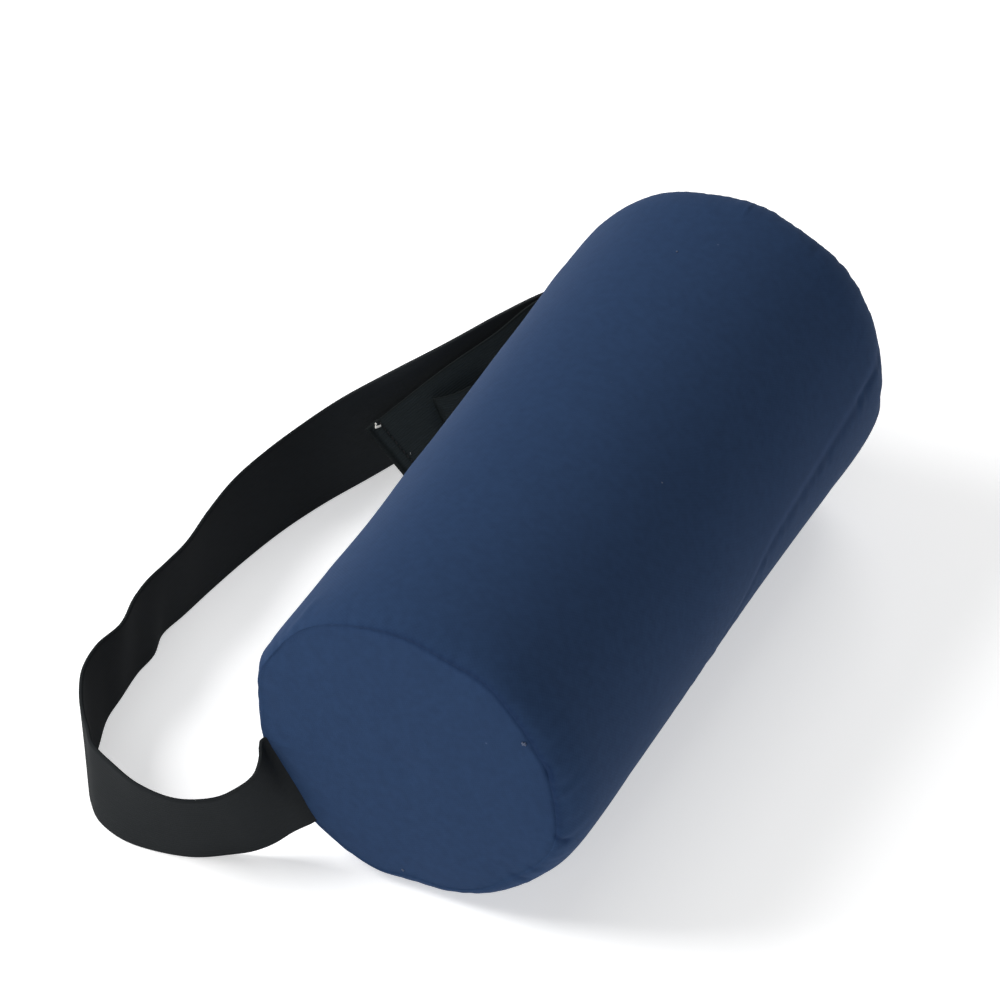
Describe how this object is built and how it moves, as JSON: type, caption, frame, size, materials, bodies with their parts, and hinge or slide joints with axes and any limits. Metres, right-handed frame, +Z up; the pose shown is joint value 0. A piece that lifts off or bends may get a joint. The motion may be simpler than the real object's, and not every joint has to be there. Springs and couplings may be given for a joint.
{
  "type": "lumbar roll",
  "caption": "Round foam roll in a sewn cloth cover with crowned end discs, and a flat strap sewn into both end seams that goes round a chair back.",
  "frame": {"origin": "on the floor under the middle of the roll, at the middle of its flat spot", "axes": "+Y along the roll towards the end that carries the tab, +Z up, the strap's loop on the -X side"},
  "size_m": [0.2077, 0.3198, 0.1264],
  "materials": {
    "cover_cloth": "matt navy blue cotton and polyester cloth, fine plain weave",
    "strap_elastic": "matt black woven elastic",
    "strap_webbing": "black ribbed webbing with a slight sheen"
  },
  "bodies": {
    "root": {"roll": "cover_cloth", "strap_band": "strap_elastic", "strap_tab": "strap_webbing", "strap_ply": "strap_webbing"}
  },
  "joints": []
}
